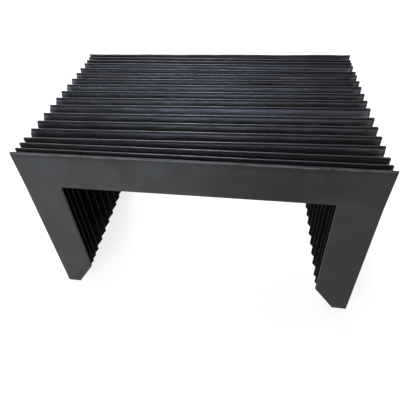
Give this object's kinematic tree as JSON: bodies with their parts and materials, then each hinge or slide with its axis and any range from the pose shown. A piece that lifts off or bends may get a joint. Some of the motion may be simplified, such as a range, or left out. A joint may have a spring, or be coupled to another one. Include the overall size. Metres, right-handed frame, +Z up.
{
  "type": "guideway bellows cover",
  "caption": "Bridge-shaped accordion bellows cover that slides over a linear guide: a pleated cloth skin over flat arched frames between end plates.",
  "frame": {"origin": "on the surface that the feet stand on, midway between the legs and midway along the cover as the picture shows it", "axes": "+Z up, +X across the cover from leg to leg, the front end plate faces -Y and the folds open and close along Y"},
  "size_m": [0.34, 0.2174, 0.2115],
  "materials": {
    "plate": "matt grained sheet with softly rounded edges",
    "frame": "thin black sheet, satin",
    "cloth": "black coated cloth with a soft sheen"
  },
  "bodies": {
    "rear_end": {"rear_plate": "plate", "bellows_skin": "cloth"},
    "frame_16": {"frame_16": "frame"},
    "frame_15": {"frame_15": "frame"},
    "frame_14": {"frame_14": "frame"},
    "frame_13": {"frame_13": "frame"},
    "frame_12": {"frame_12": "frame"},
    "frame_11": {"frame_11": "frame"},
    "frame_10": {"frame_10": "frame"},
    "frame_09": {"frame_09": "frame"},
    "frame_08": {"frame_08": "frame"},
    "frame_07": {"frame_07": "frame"},
    "frame_06": {"frame_06": "frame"},
    "frame_05": {"frame_05": "frame"},
    "frame_04": {"frame_04": "frame"},
    "frame_03": {"frame_03": "frame"},
    "frame_02": {"frame_02": "frame"},
    "frame_01": {"frame_01": "frame"},
    "front_end": {"front_plate": "plate"}
  },
  "joints": [
    {"name": "fold_17_slide", "type": "slide", "parent": "rear_end", "child": "frame_16", "axis": [0, 1, 0], "range_m": [-0.0001, 0.00189], "deforming": ["bellows_skin"]},
    {"name": "fold_16_slide", "type": "slide", "parent": "frame_16", "child": "frame_15", "axis": [0, 1, 0], "range_m": [-0.00011, 0.00216]},
    {"name": "fold_15_slide", "type": "slide", "parent": "frame_15", "child": "frame_14", "axis": [0, 1, 0], "range_m": [-0.0002, 0.00376]},
    {"name": "fold_14_slide", "type": "slide", "parent": "frame_14", "child": "frame_13", "axis": [0, 1, 0], "range_m": [-0.00049, 0.00945]},
    {"name": "fold_13_slide", "type": "slide", "parent": "frame_13", "child": "frame_12", "axis": [0, 1, 0], "range_m": [-0.00018, 0.0034]},
    {"name": "fold_12_slide", "type": "slide", "parent": "frame_12", "child": "frame_11", "axis": [0, 1, 0], "range_m": [-0.00047, 0.00901]},
    {"name": "fold_11_slide", "type": "slide", "parent": "frame_11", "child": "frame_10", "axis": [0, 1, 0], "range_m": [-0.00038, 0.00726]},
    {"name": "fold_10_slide", "type": "slide", "parent": "frame_10", "child": "frame_09", "axis": [0, 1, 0], "range_m": [-0.00053, 0.01016]},
    {"name": "fold_09_slide", "type": "slide", "parent": "frame_09", "child": "frame_08", "axis": [0, 1, 0], "range_m": [-0.00048, 0.00916]},
    {"name": "fold_08_slide", "type": "slide", "parent": "frame_08", "child": "frame_07", "axis": [0, 1, 0], "range_m": [-0.00049, 0.00936]},
    {"name": "fold_07_slide", "type": "slide", "parent": "frame_07", "child": "frame_06", "axis": [0, 1, 0], "range_m": [-0.00059, 0.01132], "deforming": ["bellows_skin"]},
    {"name": "fold_06_slide", "type": "slide", "parent": "frame_06", "child": "frame_05", "axis": [0, 1, 0], "range_m": [-0.00052, 0.00996]},
    {"name": "fold_05_slide", "type": "slide", "parent": "frame_05", "child": "frame_04", "axis": [0, 1, 0], "range_m": [-0.00048, 0.00931]},
    {"name": "fold_04_slide", "type": "slide", "parent": "frame_04", "child": "frame_03", "axis": [0, 1, 0], "range_m": [-0.00045, 0.00871]},
    {"name": "fold_03_slide", "type": "slide", "parent": "frame_03", "child": "frame_02", "axis": [0, 1, 0], "range_m": [-0.00018, 0.00337]},
    {"name": "fold_02_slide", "type": "slide", "parent": "frame_02", "child": "frame_01", "axis": [0, 1, 0], "range_m": [-0.00017, 0.00332]},
    {"name": "fold_01_slide", "type": "slide", "parent": "frame_01", "child": "front_end", "axis": [0, 1, 0], "range_m": [-0.00009, 0.00175]}
  ],
  "couplings": [
    {"joint": "fold_17_slide", "follows": "fold_07_slide", "ratio": 0.16692},
    {"joint": "fold_16_slide", "follows": "fold_07_slide", "ratio": 0.19063},
    {"joint": "fold_15_slide", "follows": "fold_07_slide", "ratio": 0.33212},
    {"joint": "fold_14_slide", "follows": "fold_07_slide", "ratio": 0.83502},
    {"joint": "fold_13_slide", "follows": "fold_07_slide", "ratio": 0.30052},
    {"joint": "fold_12_slide", "follows": "fold_07_slide", "ratio": 0.7957},
    {"joint": "fold_11_slide", "follows": "fold_07_slide", "ratio": 0.64109},
    {"joint": "fold_10_slide", "follows": "fold_07_slide", "ratio": 0.89785},
    {"joint": "fold_09_slide", "follows": "fold_07_slide", "ratio": 0.80879},
    {"joint": "fold_08_slide", "follows": "fold_07_slide", "ratio": 0.82708},
    {"joint": "fold_06_slide", "follows": "fold_07_slide", "ratio": 0.87954},
    {"joint": "fold_05_slide", "follows": "fold_07_slide", "ratio": 0.8219},
    {"joint": "fold_04_slide", "follows": "fold_07_slide", "ratio": 0.76943},
    {"joint": "fold_03_slide", "follows": "fold_07_slide", "ratio": 0.29772},
    {"joint": "fold_02_slide", "follows": "fold_07_slide", "ratio": 0.2928},
    {"joint": "fold_01_slide", "follows": "fold_07_slide", "ratio": 0.15401}
  ]
}
